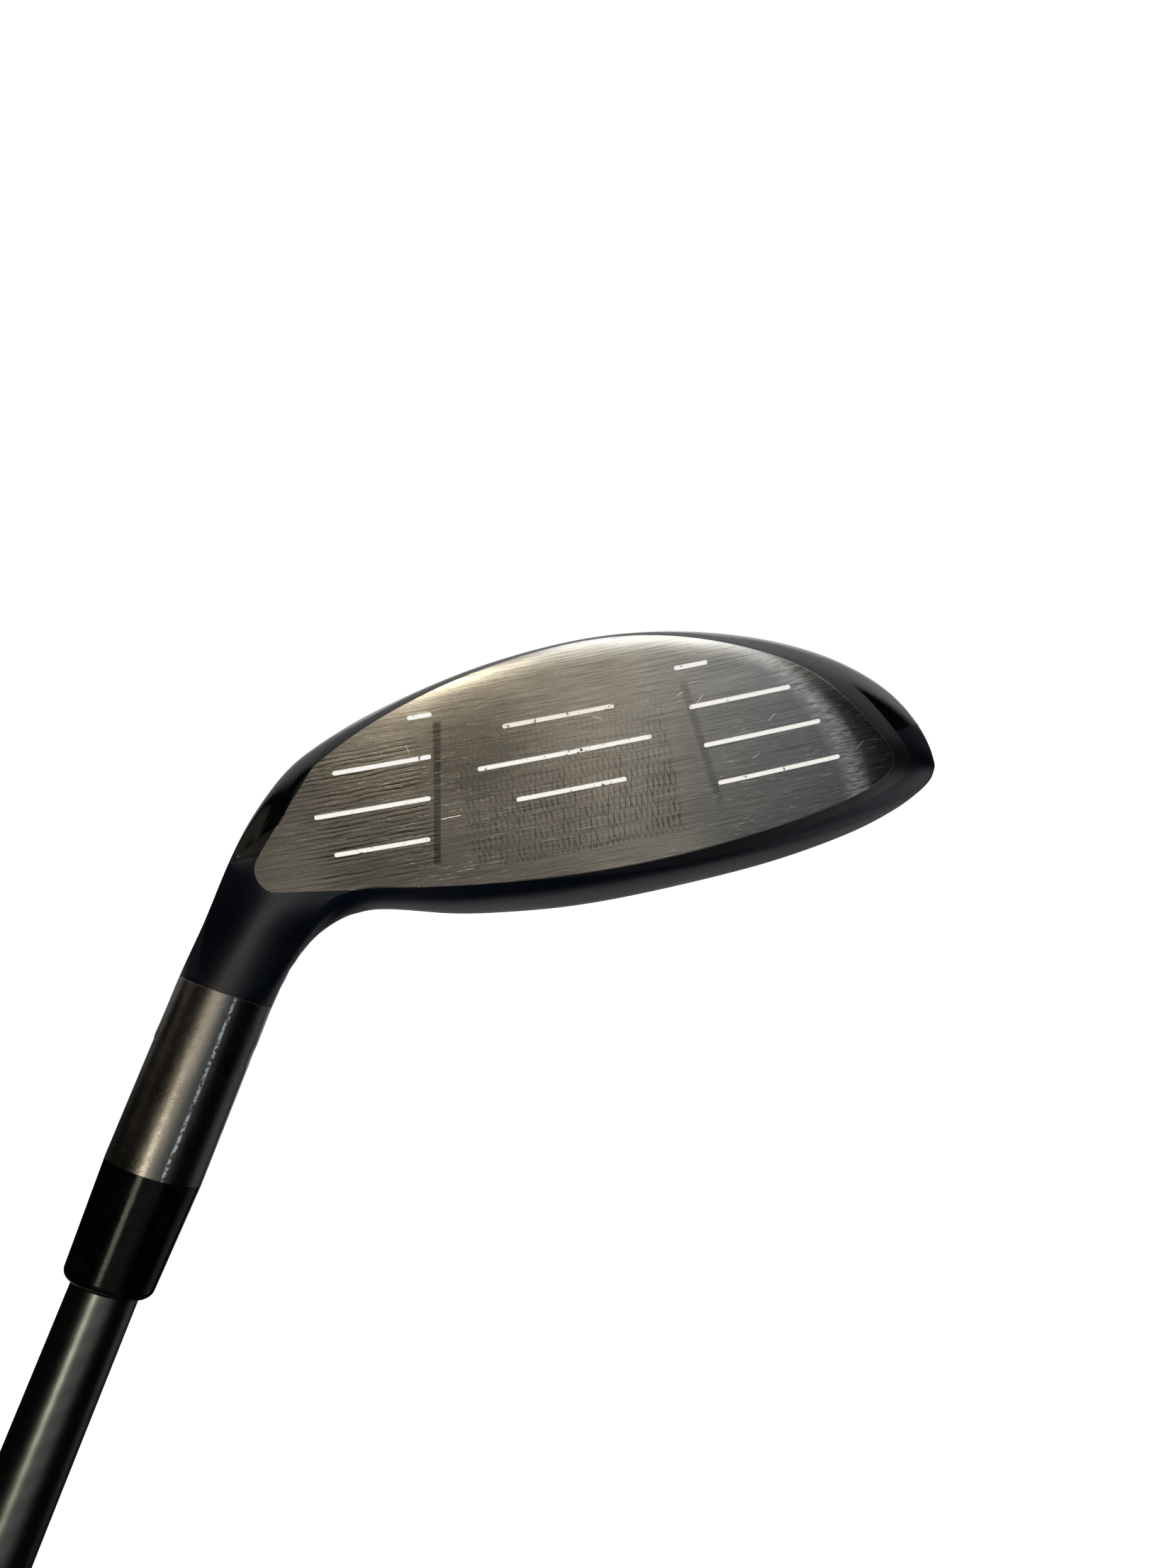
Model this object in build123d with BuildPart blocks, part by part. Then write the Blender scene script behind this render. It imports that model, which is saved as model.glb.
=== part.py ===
from build123d import *
import math
import os

# Hybrid golf club, right-handed, standing at address. Millimetres.
# X runs from heel to toe, Y along the target line out of the face, Z up.
# The origin is the middle of the small flat that the sole rests on.

# ---- club -----------------------------------------------------------------
loft_angle = 25.0                # face leans back from vertical, degrees
lie_angle = 60.0                 # shaft above the ground, degrees
club_length = 1000.0             # along the shaft, ground to grip cap

# ---- face -----------------------------------------------------------------
face_x = -5.0                    # middle of the scorelines, from the sole flat
face_y = 5.3
face_z = 18.6
face_radius = 279.4              # bulge and roll, 11 inch
face_thickness = 2.2
face_corner_reach = 53.1         # its sharp heel corner, before rounding
face_corner_height = 9.9
face_corner_radius = 3.0
face_heel_lean = 43.0            # its heel edge from vertical, degrees
face_top_lean = 7.5              # its upper edge beside the neck, from level
face_blend_slope = 66.0          # rise from that corner to the neck, from the face
face_blend_radius = 5.0          # hollow at the foot of that rise

# ---- scorelines -----------------------------------------------------------
score_width = 0.8
score_depth = 0.3
side_pitch = 6.15
side_lowest = -12.0              # lowest heel and toe line, from face middle
side_inner = 20.8                # inner ends, level with the face middle
side_splay = 12.0                # lean of the row of inner ends, degrees
heel_reaches = (21.9, 34.4, 38.5, 36.8)
toe_reaches = (23.4, 35.6, 39.6, 42.0)
middle_pitch = 5.6
middle_lowest = -8.3
middle_halves = (8.4, 13.2, 8.4)

# ---- head form, tallest section -------------------------------------------
mid_x = 1.0
crown_z = 34.7
crown_y = -20.6
nose_y = 17.6                    # front of the form before the face is cut
nose_z = 15.2
tail_y = -46.2
tail_z = 16.4
sole_ground_off = 0.15           # ground off the lowest part to leave a flat

# ---- head form, toe end ---------------------------------------------------
toe_x = 57.2
toe_y = -16.9
toe_z = 23.9
crown_runout = 2.1               # fullness of each edge as it runs to the toe
sole_runout = 2.2
nose_runout = 1.5
tail_runout = 2.3
crown_front_fullness = 2.2       # fullness of each quarter of a section
crown_rear_fullness = 2.2
sole_rear_fullness = 2.2
sole_front_fullness = 3.4
toe_front_fullness = 2.6         # of the quarter above the face, at the toe tip

# ---- head form, where the body meets the neck -----------------------------
heel_x = -39.0
heel_crown_z = 30.2
heel_crown_y = -13.3
heel_nose_y = 7.9
heel_nose_z = 17.8
heel_tail_y = -25.0
heel_tail_z = 17.0
heel_sole_z = 5.3
heel_sole_y = -3.0

# ---- neck and hosel, stations measured up the shaft axis from the ground ---
axis_x = -36.8                   # the shaft axis meets the ground here
axis_y = 0.8
neck_end = 46.6                  # the neck is round from here up
neck_straight = 9.0              # still part of the neck's skin, but straight
hosel_top = 72.6
hosel_diameter = 13.8
neck_dip_y = 1.0                 # front of the neck where it lies furthest back
neck_dip_angle = 24.0            # and how far round from the body that is
bore_depth = 25.4                # 1 inch

# ---- head walls -----------------------------------------------------------
wall = 1.2
crown_plate = 0.6
crown_ledge = 4.0
crown_cover_length = 70.0
crown_cover_depth = 30.0
crown_cover_x = 4.0
crown_cover_y = -23.0
hollow_x = -39.0                 # the hollow stops short of the neck

# ---- sole weight ----------------------------------------------------------
weight_y = -27.0
weight_tilt = 14.0               # its axis leans back with the sole, degrees
weight_head_diameter = 13.0
weight_head_height = 4.0
weight_stem_diameter = 8.0
weight_length = 9.0
weight_socket_lobe = 0.8
weight_socket_reach = 2.1        # middle of each lobe of the star socket
weight_socket_depth = 2.6
weight_recess = 0.5              # head sits this far under the sole
weight_gap = 0.05
weight_boss_wall = 2.2

# ---- shaft ----------------------------------------------------------------
tip_diameter = 9.4               # 0.370 inch parallel tip
butt_diameter = 15.2             # 0.600 inch butt
tip_bore = 5.2
butt_bore = 12.6
parallel_length = 72.0
bond_gap = 0.05                  # glue line round the shaft, tape and plug
tip_plug_length = 18.0
tip_plug_inset = 4.0
tip_plug_chamfer = 0.4

# ---- ferrule --------------------------------------------------------------
ferrule_length = 16.0
ferrule_end_diameter = 12.4
ferrule_end_round = 1.35

# ---- grip -----------------------------------------------------------------
grip_length = 268.0
grip_mouth_diameter = 17.4
grip_lower_diameter = 19.6
grip_upper_diameter = 24.4
grip_cap_diameter = 27.6
grip_cap_thickness = 4.0
grip_cap_round = 2.0
grip_cap_stub = 8.0
grip_tape_thickness = 0.3
vent_diameter = 5.0

os.makedirs("parts", exist_ok=True)


def mix(start, end, share):
    return start + (end - start) * share


def glide(start, slope, end, share):
    """Leaves the start at a slope, per whole run, and arrives at the end level and straight."""
    settled = share**3 * (10 - 15 * share + 6 * share**2)
    return mix(start, end, settled) + slope * share * (1 - share) ** 3 * (1 + 3 * share)


def runout(share, fullness):
    """Falls from 1 to 0 along a superellipse."""
    return (1 - share**fullness) ** (1 / fullness)

# ---- planes ---------------------------------------------------------------
lean = math.radians(loft_angle)
rise = math.radians(lie_angle)
face_normal = Vector(0, math.cos(lean), math.sin(lean))
face_middle = Vector(face_x, face_y, face_z)
# In the face's own plane local X runs toward the heel and local Y up the face.
face_plane = Plane(origin=face_middle, x_dir=(-1, 0, 0), z_dir=face_normal)
face_centre = face_middle - face_normal * face_radius
axis_direction = Vector(-math.cos(rise), 0, math.sin(rise))
axis_foot = Vector(axis_x, axis_y, 0)


def axis_plane(station):
    """Plane square to the shaft axis, so far up it from the ground."""
    return Plane(origin=axis_foot + axis_direction * station, x_dir=(0, 1, 0), z_dir=axis_direction)


# Revolved pieces are drawn in the upright plane that holds the shaft axis:
# local X is the radius, toward the toe, and local Y is the station.
axis_profile = Plane(
    origin=axis_foot,
    x_dir=(math.sin(rise), 0, math.cos(rise)),
    z_dir=(0, -1, 0),
)
shaft_axis = Axis(axis_foot, axis_direction)

# The neck's sections turn about this pivot, above the crown at the heel.
pivot_z = (neck_end + (heel_x - axis_x) * math.cos(rise)) / math.sin(rise)
sole_z = -sole_ground_off        # lowest point of the sole before it is ground
pivot_to_axis = (heel_x - axis_x) * math.sin(rise) + pivot_z * math.cos(rise)

# ---- sections of the head -------------------------------------------------
# Each section is four superelliptic quarters between its front, top, rear
# and bottom points, given as (toward the target, up).
def quarter(start, end, fullness, upright_first):
    """Points along a quarter, and the directions in which it leaves and arrives."""
    points = []
    for turn in (0, math.pi / 6, math.pi / 3, math.pi / 2):
        fall = math.cos(turn) ** (2 / fullness)
        climb = math.sin(turn) ** (2 / fullness)
        if upright_first:
            points.append((mix(end[0], start[0], fall), mix(start[1], end[1], climb)))
        else:
            points.append((mix(start[0], end[0], climb), mix(end[1], start[1], fall)))
    level = (math.copysign(1, end[0] - start[0]), 0)
    upright = (0, math.copysign(1, end[1] - start[1]))
    return points, (upright, level) if upright_first else (level, upright)


def quarters(front, top, rear, bottom, fullness):
    yield quarter(front, top, fullness[0], True)
    yield quarter(top, rear, fullness[1], False)
    yield quarter(rear, bottom, fullness[2], True)
    yield quarter(bottom, front, fullness[3], False)


full = (crown_front_fullness, crown_rear_fullness, sole_rear_fullness, sole_front_fullness)


def body_section(x, inset):
    """Section of the body at x, drawn in by inset, between the toe and the heel."""
    middle = [(nose_y, nose_z), (crown_y, crown_z - inset), (tail_y + inset, tail_z), (0, sole_z + inset)]
    if x > mid_x:
        share = (x - mid_x) / (toe_x - inset - mid_x)
        runouts = (nose_runout, crown_runout, tail_runout, sole_runout)
        nose, crown, tail, sole = (
            (mix(toe_y, y, runout(share, fall)), mix(toe_z, z, runout(share, fall)))
            for (y, z), fall in zip(middle, runouts)
        )
        # The highest and lowest points keep their places between tail and nose.
        crown_share = (crown_y - tail_y) / (nose_y - tail_y)
        sole_share = -tail_y / (nose_y - tail_y)
        crown = (mix(tail[0], nose[0], crown_share), crown[1])
        sole = (mix(tail[0], nose[0], sole_share), sole[1])
        corners = [nose, crown, tail, sole]
        fullness = [mix(2, fullest, runout(share, 2)) for fullest in full]
        fullness[0] = mix(crown_front_fullness, toe_front_fullness, share)
    else:
        heel = [
            (heel_nose_y, heel_nose_z),
            (heel_crown_y, heel_crown_z - inset),
            (heel_tail_y + inset, heel_tail_z),
            (heel_sole_y, heel_sole_z + inset),
        ]
        share = ((mid_x - x) / (mid_x - heel_x)) ** 2
        corners = [(mix(m[0], h[0], share), mix(m[1], h[1], share)) for m, h in zip(middle, heel)]
        fullness = full
    return Plane(origin=(x, 0, 0), x_dir=(0, 1, 0), z_dir=(1, 0, 0)), corners, fullness


def neck_section(angle):
    """Section of the neck, turned by angle about the pivot toward the shaft axis."""
    share = angle / lie_angle
    radius = hosel_diameter / 2
    # Each edge leaves the body at the slope that it has there, except the
    # crown, which turns up into the neck at once.
    steepness = 2 / (mid_x - heel_x) * rise

    def edge(heel, middle, end_y, end_reach):
        reach = pivot_z - heel[1]
        y = glide(heel[0], (heel[0] - middle[0]) * steepness * reach, end_y, share)
        return y, -glide(reach, (middle[1] - heel[1]) * steepness * reach, end_reach, share)

    front_z = edge((heel_nose_y, heel_nose_z), (nose_y, nose_z), axis_y + radius, pivot_to_axis)[1]
    if angle < neck_dip_angle:
        part_way = angle / neck_dip_angle
        slope = (heel_nose_y - nose_y) * steepness * (pivot_z - heel_nose_z)
        front_y = glide(heel_nose_y, slope * neck_dip_angle / lie_angle, neck_dip_y, part_way)
    else:
        part_way = (angle - neck_dip_angle) / (lie_angle - neck_dip_angle)
        front_y = glide(neck_dip_y, 0, axis_y + radius, part_way)
    corners = [
        (front_y, front_z),
        edge((heel_crown_y, heel_crown_z), (crown_y, heel_crown_z), axis_y, pivot_to_axis - radius),
        edge((heel_tail_y, heel_tail_z), (tail_y, tail_z), axis_y - radius, pivot_to_axis),
        edge((heel_sole_y, heel_sole_z), (0, sole_z), axis_y, pivot_to_axis + radius),
    ]
    up = (math.sin(math.radians(angle)), 0, math.cos(math.radians(angle)))
    across = Vector(0, 1, 0)
    plane = Plane(origin=(heel_x, 0, pivot_z), x_dir=across, z_dir=across.cross(Vector(*up)))
    return plane, corners, [mix(fullness, 2, glide(0, 0, 1, share)) for fullness in full]


def hosel_section(station):
    """Round section of the hosel, drawn the same way as the neck's."""
    radius = hosel_diameter / 2
    plane = Plane(
        origin=axis_foot + axis_direction * station, x_dir=(0, 1, 0), z_dir=-axis_direction
    )
    return plane, [(radius, 0), (0, radius), (-radius, 0), (0, -radius)], [2] * 4


def toe_half(inset):
    """X of the sections from the toe to the middle, closing up toward the toe."""
    end = toe_x - inset
    return [end - (end - mid_x) * share**2 for share in (0.06, 0.16, 0.29, 0.44, 0.6, 0.78, 1.0)]


heel_half = [mix(mid_x, heel_x, share / 4) for share in range(1, 5)]
neck_angles = [lie_angle * share / 8 for share in range(1, 9)]
neck_rings = [neck_end + neck_straight * share / 3 for share in range(1, 4)]


def skin(sections):
    """Solid with one smooth skin through all the sections."""
    with BuildPart() as form:
        for plane, corners, fullness in sections:
            with BuildSketch(plane):
                with BuildLine():
                    for points, directions in quarters(*corners, fullness):
                        Spline(*points, tangents=directions)
                make_face()
        loft()
    return form.part

# ---- whole form: body and neck in one skin, turning up into the hosel ------
body = [body_section(x, 0) for x in toe_half(0) + heel_half]
neck = [neck_section(angle) for angle in neck_angles]
body_and_neck = skin(body + neck + [hosel_section(station) for station in neck_rings])

with BuildPart() as head_form:
    add(body_and_neck)
    with BuildSketch(axis_plane(neck_end + neck_straight)):
        Circle(hosel_diameter / 2)
    extrude(amount=hosel_top - neck_end - neck_straight)
    split(bisect_by=Plane.XY, keep=Keep.TOP)

# The body drawn in under the crown plate, and again to the inner wall.
under_crown = skin([body_section(x, crown_plate) for x in toe_half(crown_plate) + heel_half])
hollow_heel = [x for x in heel_half if x > hollow_x] + [hollow_x]
hollow = skin([body_section(x, wall) for x in toe_half(wall) + hollow_heel])

# ---- face: a curved slab under the face outline ------------------------------
# The face is cut across the whole form, except past its heel corner.
heel_lean = math.radians(face_heel_lean)
top_lean = math.radians(face_top_lean)
past_form = 2 * toe_x
face_corner = Vector(face_corner_reach, face_corner_height)
heel_low = face_corner - Vector(math.sin(heel_lean), math.cos(heel_lean)) * past_form
top_far = face_corner + Vector(-math.cos(top_lean), math.sin(top_lean)) * past_form

with BuildSketch() as face_outline:
    with BuildLine():
        Polyline(heel_low, face_corner, top_far, (-past_form, heel_low.Y), close=True)
    make_face()
    fillet(vertices().sort_by(Axis.X)[-1], face_corner_radius)

with BuildPart() as plate_layer:
    with BuildSketch(face_plane):
        add(face_outline.sketch)
    extrude(amount=face_radius / 2, both=True)
    with Locations(face_centre):
        Sphere(face_radius, mode=Mode.INTERSECT)
        Sphere(face_radius - face_thickness, mode=Mode.SUBTRACT)

# What stands in front of the face is cut away. Past the outline the cut turns
# up through a hollow into a straight rise, which runs out on the neck.
slope = math.radians(face_blend_slope)
corner_drop = face_radius - math.sqrt(face_radius**2 - face_corner.length**2)
rise_foot = corner_drop + face_blend_radius * math.tan(slope / 2) * math.tan(slope)
with BuildPart() as face_front:
    with BuildSketch(face_plane.offset(-rise_foot)):
        add(face_outline.sketch)
    extrude(amount=rise_foot + nose_y, taper=face_blend_slope - 90)
    with Locations(face_centre):
        Sphere(face_radius, mode=Mode.SUBTRACT)
    rim = faces().filter_by(GeomType.SPHERE).sort_by(Axis.Y)[-1].edges()
    fillet(rim.sort_by(Axis.X)[:3], face_blend_radius)

# ---- scorelines: three groups of slots, cut to one depth below the face ------
with BuildPart() as score_cuts:
    with BuildSketch(face_plane):
        for side, reaches in ((1, heel_reaches), (-1, toe_reaches)):
            for row, reach in enumerate(reaches):
                height = side_lowest + row * side_pitch
                inner = side_inner + height * math.tan(math.radians(side_splay))
                with Locations((side * (inner + reach) / 2, height)):
                    SlotOverall(reach - inner, score_width)
        for row, half in enumerate(middle_halves):
            with Locations((0, middle_lowest + row * middle_pitch)):
                SlotOverall(2 * half, score_width)
    extrude(amount=face_radius / 10, both=True)
    with Locations(face_centre):
        Sphere(face_radius - score_depth, mode=Mode.SUBTRACT)

with BuildPart() as face_insert:
    add(head_form.part)
    add(plate_layer.part, mode=Mode.INTERSECT)
    add(score_cuts.part, mode=Mode.SUBTRACT)

# ---- crown cover: a thin plate on a ledge round the opening in the crown -----
def crown_column(length, depth):
    with BuildPart() as column:
        with BuildSketch(Plane.XY.offset(toe_z)):
            with Locations((crown_cover_x, crown_cover_y)):
                Ellipse(length / 2, depth / 2)
        extrude(amount=crown_z)
    return column.part


cover_column = crown_column(crown_cover_length, crown_cover_depth)
opening_column = crown_column(
    crown_cover_length - 2 * crown_ledge, crown_cover_depth - 2 * crown_ledge
)

with BuildPart() as crown_cover:
    add(head_form.part)
    add(cover_column, mode=Mode.INTERSECT)
    add(under_crown, mode=Mode.SUBTRACT)

# ---- sole weight: star-socket screw in a boss at the back of the sole --------
weight_z = mix(tail_z, sole_z, runout(weight_y / tail_y, sole_rear_fullness))
tilt = math.radians(weight_tilt)
weight_plane = Plane(
    origin=(mid_x, weight_y, weight_z + weight_recess),
    x_dir=(1, 0, 0),
    z_dir=(0, -math.sin(tilt), -math.cos(tilt)),
)

with BuildPart() as sole_weight:
    with BuildSketch(weight_plane):
        Circle(weight_head_diameter / 2)
    extrude(amount=-weight_head_height)
    with BuildSketch(weight_plane):
        Circle(weight_stem_diameter / 2)
    extrude(amount=-weight_length)
    with BuildSketch(weight_plane):
        Circle(weight_socket_reach)
        with PolarLocations(weight_socket_reach, 6):
            Circle(weight_socket_lobe)
    extrude(amount=-weight_socket_depth, mode=Mode.SUBTRACT)

with BuildPart() as weight_boss:
    with BuildSketch(weight_plane.offset(weight_boss_wall)):
        Circle(weight_head_diameter / 2 + weight_boss_wall)
    extrude(amount=-(weight_length + 2 * weight_boss_wall))
    add(head_form.part, mode=Mode.INTERSECT)

# ---- head body: the form less its face, hollow, crown seat and bores ---------
with BuildPart() as head_body:
    add(head_form.part)
    add(plate_layer.part, mode=Mode.SUBTRACT)
    add(face_front.part, mode=Mode.SUBTRACT)
    add(hollow, mode=Mode.SUBTRACT)
    add(crown_cover.part, mode=Mode.SUBTRACT)
    add(opening_column, mode=Mode.SUBTRACT)
    add(weight_boss.part)
    with BuildSketch(weight_plane.offset(weight_boss_wall)):
        Circle(weight_head_diameter / 2 + weight_gap)
    extrude(amount=-(weight_boss_wall + weight_head_height), mode=Mode.SUBTRACT)
    with BuildSketch(weight_plane):
        Circle(weight_stem_diameter / 2 + weight_gap)
    extrude(amount=-(weight_length + weight_gap), mode=Mode.SUBTRACT)
    with BuildSketch(axis_plane(hosel_top)):
        Circle(tip_diameter / 2 + bond_gap)
    extrude(amount=-bore_depth, mode=Mode.SUBTRACT)

# ---- shaft: parallel tip, then one long taper to the butt --------------------
shaft_start = hosel_top - bore_depth + bond_gap
taper_start = shaft_start + parallel_length
shaft_end = club_length - grip_cap_thickness


def shaft_radius(station):
    share = max(0, (station - taper_start) / (shaft_end - taper_start))
    return mix(tip_diameter, butt_diameter, share) / 2


with BuildPart() as shaft:
    with BuildSketch(axis_profile):
        with BuildLine():
            Polyline(
                (tip_bore / 2, shaft_start),
                (tip_diameter / 2, shaft_start),
                (tip_diameter / 2, taper_start),
                (butt_diameter / 2, shaft_end),
                (butt_bore / 2, shaft_end),
                (tip_bore / 2, taper_start),
                close=True,
            )
        make_face()
    revolve(axis=shaft_axis)

# ---- tip plug: stops the glue from running up the shaft ----------------------
with BuildPart() as tip_plug:
    with BuildSketch(axis_plane(shaft_start + tip_plug_inset)):
        Circle(tip_bore / 2 - bond_gap)
    extrude(amount=tip_plug_length)
    chamfer(edges().filter_by(GeomType.CIRCLE), tip_plug_chamfer)

# ---- ferrule: trims the end of the hosel -------------------------------------
with BuildPart() as ferrule:
    with BuildSketch(axis_profile):
        with BuildLine():
            Polyline(
                (tip_diameter / 2 + bond_gap, hosel_top),
                (hosel_diameter / 2, hosel_top),
                (ferrule_end_diameter / 2, hosel_top + ferrule_length),
                (tip_diameter / 2 + bond_gap, hosel_top + ferrule_length),
                close=True,
            )
        make_face()
        far_corner = vertices().group_by(Axis.Y)[-1].sort_by(Axis.X)[-1]
        fillet(far_corner, ferrule_end_round)
    revolve(axis=shaft_axis)

# ---- grip tape, grip and grip cap --------------------------------------------
grip_start = shaft_end - grip_length
tape_gap = bond_gap
tape_outer = tape_gap + grip_tape_thickness
grip_bore = tape_outer + bond_gap


def sleeve_profile(inner_gap, outer_gap):
    """Corners of a sleeve that follows the shaft's taper over the grip's length."""
    return [
        (shaft_radius(grip_start) + inner_gap, grip_start),
        (shaft_radius(grip_start) + outer_gap, grip_start),
        (shaft_radius(shaft_end) + outer_gap, shaft_end),
        (shaft_radius(shaft_end) + inner_gap, shaft_end),
    ]


with BuildPart() as grip_tape:
    with BuildSketch(axis_profile):
        with BuildLine():
            Polyline(*sleeve_profile(tape_gap, tape_outer), close=True)
        make_face()
    revolve(axis=shaft_axis)

with BuildPart() as grip:
    with BuildSketch(axis_profile):
        mouth = (shaft_radius(grip_start) + grip_bore, grip_start)
        mouth_edge = (grip_mouth_diameter / 2, grip_start)
        butt_edge = (grip_cap_diameter / 2, shaft_end)
        butt = (shaft_radius(shaft_end) + grip_bore, shaft_end)
        with BuildLine():
            Line(mouth, mouth_edge)
            Spline(
                mouth_edge,
                (grip_lower_diameter / 2, grip_start + grip_length * 0.3),
                (grip_upper_diameter / 2, grip_start + grip_length * 0.8),
                butt_edge,
            )
            Line(butt_edge, butt)
            Line(butt, mouth)
        make_face()
    revolve(axis=shaft_axis)

with BuildPart() as grip_cap:
    with BuildSketch(axis_plane(shaft_end)):
        Circle(grip_cap_diameter / 2)
    extrude(amount=grip_cap_thickness)
    fillet(faces().sort_by(SortBy.DISTANCE)[-1].edges(), grip_cap_round)
    with BuildSketch(axis_plane(shaft_end)):
        Circle(butt_bore / 2 - bond_gap)
    extrude(amount=-grip_cap_stub)
    with BuildSketch(axis_plane(club_length)):
        Circle(vent_diameter / 2)
    extrude(amount=-(grip_cap_thickness + grip_cap_stub), mode=Mode.SUBTRACT)

# ---- pieces ----------------------------------------------------------------------
pieces = {
    "head_body": head_body,
    "face_insert": face_insert,
    "crown_cover": crown_cover,
    "sole_weight": sole_weight,
    "shaft": shaft,
    "tip_plug": tip_plug,
    "ferrule": ferrule,
    "grip_tape": grip_tape,
    "grip": grip,
    "grip_cap": grip_cap,
}
for name, piece in pieces.items():
    piece.part.label = name
    export_step(piece.part, f"parts/{name}.step")
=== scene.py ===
import math

import bpy
from mathutils import Matrix, Vector


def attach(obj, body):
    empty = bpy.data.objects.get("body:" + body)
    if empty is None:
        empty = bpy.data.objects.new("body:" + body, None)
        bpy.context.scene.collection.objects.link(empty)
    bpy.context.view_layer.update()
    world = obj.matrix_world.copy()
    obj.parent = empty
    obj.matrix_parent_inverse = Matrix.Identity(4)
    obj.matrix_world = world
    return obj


# Looks of a hybrid golf club, standing at address. Metres, in the frame of the CAD:
# X runs from heel to toe, Y out of the face along the target line, Z up.
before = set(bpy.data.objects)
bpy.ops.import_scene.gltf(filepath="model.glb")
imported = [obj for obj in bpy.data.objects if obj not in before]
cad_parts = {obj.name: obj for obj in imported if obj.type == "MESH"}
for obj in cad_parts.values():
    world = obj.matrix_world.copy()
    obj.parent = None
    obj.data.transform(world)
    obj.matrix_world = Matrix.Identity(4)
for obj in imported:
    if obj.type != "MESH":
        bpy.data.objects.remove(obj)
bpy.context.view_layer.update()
scene = bpy.context.scene

# ---- camera -----------------------------------------------------------------
# The club is looked at from close in front of its face, with the camera held
# upside down, so that the sole is at the top and the shaft runs down to the left.
camera = bpy.data.objects.new("camera", bpy.data.cameras.new("camera"))
camera.data.lens = 26.69
camera.data.clip_start = 0.01
camera_place = Vector((-0.01339, 0.17299, 0.06146))
camera_right = Vector((0.97988, 0.01559, 0.19898))
camera_ahead = Vector((0.06279, -0.97040, -0.23319))
camera_up = camera_right.cross(camera_ahead)
camera_axes = Matrix((camera_right, camera_up, -camera_ahead)).transposed().to_4x4()
camera.matrix_world = Matrix.Translation(camera_place) @ camera_axes
scene.collection.objects.link(camera)
scene.camera = camera


# ---- floor and backdrop -----------------------------------------------------
# A pale seamless studio: a matt floor under the sole that runs into a white
# dome. Neither shows in the gloss of the club, which sees only the lamps.
class Wire:
    """A value in a node tree. Sums written with it add Math nodes; node() adds any other."""

    def __init__(self, tree, socket=None):
        self.tree = tree
        self.socket = socket

    def node(self, kind, settings=None, sockets=None, output=0):
        """Adds a node, sets it up, gives its sockets values or wires, and returns one output."""
        made = self.tree.nodes.new(kind)
        for name, value in (settings or {}).items():
            setattr(made, name, value)
        for name, value in (sockets or {}).items():
            if isinstance(value, Wire):
                self.tree.links.new(value.socket, made.inputs[name])
            else:
                made.inputs[name].default_value = value
        return Wire(self.tree, made.outputs[output])

    def math(self, operation, *others):
        """A Math node on this value and the others."""
        values = dict(enumerate((self, *others)))
        return self.node("ShaderNodeMath", {"operation": operation}, values)

    def vector(self, operation, *others, output="Vector"):
        """A Vector Math node on this vector or colour and the others."""
        values = dict(enumerate((self, *others)))
        return self.node("ShaderNodeVectorMath", {"operation": operation}, values, output)

    def __add__(self, other):
        return self.math("ADD", other)

    def __sub__(self, other):
        return self.math("SUBTRACT", other)

    def __rsub__(self, other):
        return self.math("MULTIPLY_ADD", -1.0, other)

    def __mul__(self, other):
        return self.math("MULTIPLY", other)

    def __truediv__(self, other):
        return self.math("DIVIDE", other)

    def __abs__(self):
        return self.math("ABSOLUTE")

    __radd__ = __add__
    __rmul__ = __mul__

    def wave(self, pitch):
        """A sine that comes round once in each pitch."""
        return (self * (2 * math.pi / pitch)).math("SINE")

    def rise(self, start, end):
        """0 before start, 1 past end, smooth between. It falls where start is the larger."""
        settings = {"interpolation_type": "SMOOTHSTEP"}
        sockets = {"Value": self, "From Min": start, "From Max": end}
        return self.node("ShaderNodeMapRange", settings, sockets)

    def along(self, direction):
        """How far this place lies along a direction."""
        return self.vector("DOT_PRODUCT", direction, output="Value")

    def stretched(self, x, y, z):
        """This place with each axis stretched. A number becomes that far along (x, y, z)."""
        return self.vector("MULTIPLY", (x, y, z))

    def scaled(self, share):
        """This vector, or this colour's brightness, times a number."""
        return self.node("ShaderNodeVectorMath", {"operation": "SCALE"}, {0: self, "Scale": share})

    def noise(self, scale, detail=2.0, roughness=0.5):
        sockets = {"Vector": self, "Scale": scale, "Detail": detail, "Roughness": roughness}
        return self.node("ShaderNodeTexNoise", sockets=sockets)

    def tint(self, first, second):
        """The first colour where this is 0, the second where it is 1."""
        # The Mix node's colours are its sockets 6 and 7, and the mixed one is its output 2.
        return self.node("ShaderNodeMix", {"data_type": "RGBA"}, {0: self, 6: first, 7: second}, 2)


def new_finish(name):
    """A finish with one Principled shader, and the place on the piece that it shades."""
    material = bpy.data.materials.new(name)
    material.use_nodes = True
    tree = material.node_tree
    shader = tree.nodes["Principled BSDF"]
    place = Wire(tree).node("ShaderNodeTexCoord", output="Object")
    return material, shader, place


def feed(shader, **values):
    """Sets the shader's sockets, or wires values to them."""
    for name, value in values.items():
        socket = shader.inputs[name.replace("_", " ")]
        if isinstance(value, Wire):
            shader.id_data.links.new(value.socket, socket)
        else:
            socket.default_value = value


def whiten(surface, name, mottling):
    """Makes a studio surface white to the camera, and unseen by the club and its light."""
    surface.name = name
    material, shader, place = new_finish("white_" + name)
    feed(
        shader,
        Base_Color=place.noise(mottling).tint((0.90, 0.90, 0.90, 1), (0.94, 0.94, 0.94, 1)),
        Roughness=0.9,
        Emission_Color=(1, 1, 1, 1),
        Emission_Strength=1.0,
    )
    surface.data.materials.append(material)
    surface.visible_diffuse = False
    surface.visible_glossy = False
    surface.visible_transmission = False
    surface.visible_shadow = False


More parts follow.
